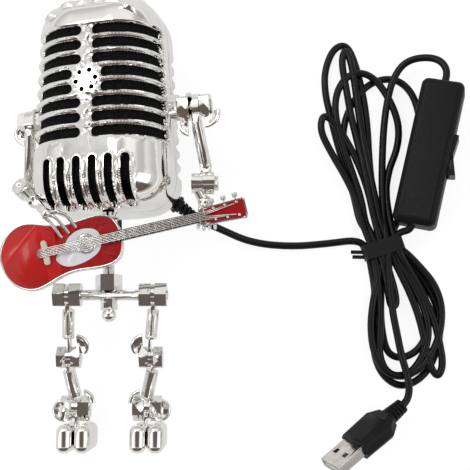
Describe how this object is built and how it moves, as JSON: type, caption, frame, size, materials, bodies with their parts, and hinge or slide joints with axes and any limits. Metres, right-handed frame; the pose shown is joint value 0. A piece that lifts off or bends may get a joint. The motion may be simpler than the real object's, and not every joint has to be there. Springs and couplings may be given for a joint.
{
  "type": "desk lamp",
  "caption": "USB desk lamp shaped as a robot with a microphone-style head, jointed arms and legs and a guitar, with a corded inline switch",
  "frame": {"origin": "middle of the robot's footprint on the table it lies on, without the cord", "axes": "+Y towards the crown of the head, +Z out of the robot's front, away from the table, +X towards its left side"},
  "size_m": [0.1899, 0.1909, 0.0539],
  "materials": {
    "chrome": "polished chrome plate",
    "guitar_metal": "polished chrome plate",
    "strings": "steel wire",
    "tuners": "polished",
    "screws": "machine screw",
    "guitar_red": "red enamel",
    "pickguard": "white gloss",
    "bridge": "cream gloss",
    "grille_fabric": "matte black lining",
    "led_board": "white solder mask",
    "led_chips": "phosphor lens",
    "wire": "wire insulation",
    "cord": "satin black jacket",
    "tie": "matte black band",
    "switch_case": "fine matte texture",
    "rocker": "satin black",
    "usb_grip": "matte black overmould",
    "usb_shell": "nickel plated steel",
    "usb_tongue": "white insert"
  },
  "bodies": {
    "head": {"case_screws": "screws", "cord_grommet": "cord", "cord_hank_lower": "cord", "cord_hank_upper": "cord", "cord_runs": "cord", "cord_tie": "tie", "front_grille_lining": "grille_fabric", "head_front_case": "chrome", "head_rear_case": "chrome", "lamp_wires": "wire", "led_board": "led_board", "led_chips": "led_chips", "rear_grille_lining": "grille_fabric", "shoulder_bolts": "chrome", "shoulder_nuts": "chrome", "shoulder_thumb_nuts": "chrome", "shoulder_washers": "chrome", "switch_base": "switch_case", "switch_cover": "switch_case", "usb_grip": "usb_grip", "usb_shell": "usb_shell", "usb_tongue": "usb_tongue"},
    "spine": {"neck_washer": "chrome", "neck_coupling": "chrome", "neck_bolt": "chrome", "neck_rod": "chrome", "hip_bar": "chrome", "pelvis_nut": "chrome", "pelvis_cap_nut": "chrome", "hip_nuts": "chrome"},
    "right_upper_arm": {"right_upper_arm": "chrome", "right_elbow_bolt": "chrome"},
    "right_forearm": {"right_forearm": "chrome"},
    "left_arm": {"left_upper_arm": "chrome", "left_hand": "chrome", "left_elbow_bolt": "chrome", "guitar_body": "guitar_metal", "guitar_bridge": "bridge", "guitar_face": "guitar_red", "guitar_head_face": "guitar_red", "guitar_neck": "guitar_metal", "guitar_pickguard": "pickguard", "guitar_strings": "strings", "guitar_tuners": "tuners"},
    "switch_rocker": {"switch_rocker": "rocker"},
    "right_thigh": {"right_thigh": "chrome", "right_knee_bolt": "chrome", "right_knee_nut": "chrome"},
    "right_shin": {"right_shin": "chrome"},
    "right_foot": {"right_foot": "chrome", "right_ankle_bolt": "chrome", "right_ankle_nut": "chrome"},
    "left_thigh": {"left_thigh": "chrome", "left_knee_bolt": "chrome", "left_knee_nut": "chrome"},
    "left_shin": {"left_shin": "chrome"},
    "left_foot": {"left_foot": "chrome", "left_ankle_bolt": "chrome", "left_ankle_nut": "chrome"}
  },
  "joints": [
    {"name": "neck_swivel", "type": "hinge", "parent": "head", "child": "spine", "pos_m": [-0.0071, 0.00252, 0.027], "axis": [-0.0297, 0.9992, -0.0279], "range_deg": [-20, 0]},
    {"name": "right_hip", "type": "hinge", "parent": "spine", "child": "right_thigh", "pos_m": [-0.0223, -0.02985, 0.0279], "axis": [1, 0, 0], "range_deg": [-45, 10]},
    {"name": "right_knee", "type": "hinge", "parent": "right_thigh", "child": "right_shin", "pos_m": [-0.0229, -0.05412, 0.0183], "axis": [1, 0, 0], "range_deg": [0, 90]},
    {"name": "right_ankle", "type": "hinge", "parent": "right_shin", "child": "right_foot", "pos_m": [-0.0212, -0.07448, 0.01023], "axis": [1, 0, 0], "range_deg": [-25, 25]},
    {"name": "left_hip", "type": "hinge", "parent": "spine", "child": "left_thigh", "pos_m": [0.0112, -0.02985, 0.0279], "axis": [1, 0, 0], "range_deg": [-45, 10]},
    {"name": "left_knee", "type": "hinge", "parent": "left_thigh", "child": "left_shin", "pos_m": [0.0099, -0.05412, 0.0183], "axis": [1, 0, 0], "range_deg": [0, 90]},
    {"name": "left_ankle", "type": "hinge", "parent": "left_shin", "child": "left_foot", "pos_m": [0.0079, -0.07448, 0.01023], "axis": [1, 0, 0], "range_deg": [-25, 25]},
    {"name": "left_shoulder", "type": "hinge", "parent": "head", "child": "left_arm", "pos_m": [0.02795, 0.0448, 0.03423], "axis": [0.9738, 0.0352, 0.2249], "range_deg": [-8, 0]},
    {"name": "right_shoulder", "type": "hinge", "parent": "head", "child": "right_upper_arm", "pos_m": [-0.04068, 0.04232, 0.01838], "axis": [0.9738, 0.0352, 0.2249], "range_deg": [-8, 0]},
    {"name": "right_elbow", "type": "hinge", "parent": "right_upper_arm", "child": "right_forearm", "pos_m": [-0.041, 0.01212, 0.0265], "axis": [-0.4742, 0.4557, 0.7533], "range_deg": [-10, 0]},
    {"name": "rocker_tilt", "type": "hinge", "parent": "head", "child": "switch_rocker", "pos_m": [0.13157, 0.02886, 0.01381], "axis": [-0.2514, 0.0617, 0.9659], "range_deg": [-12, 0]}
  ],
  "couplings": [
    {"joint": "right_shoulder", "follows": "left_shoulder", "ratio": 1}
  ]
}
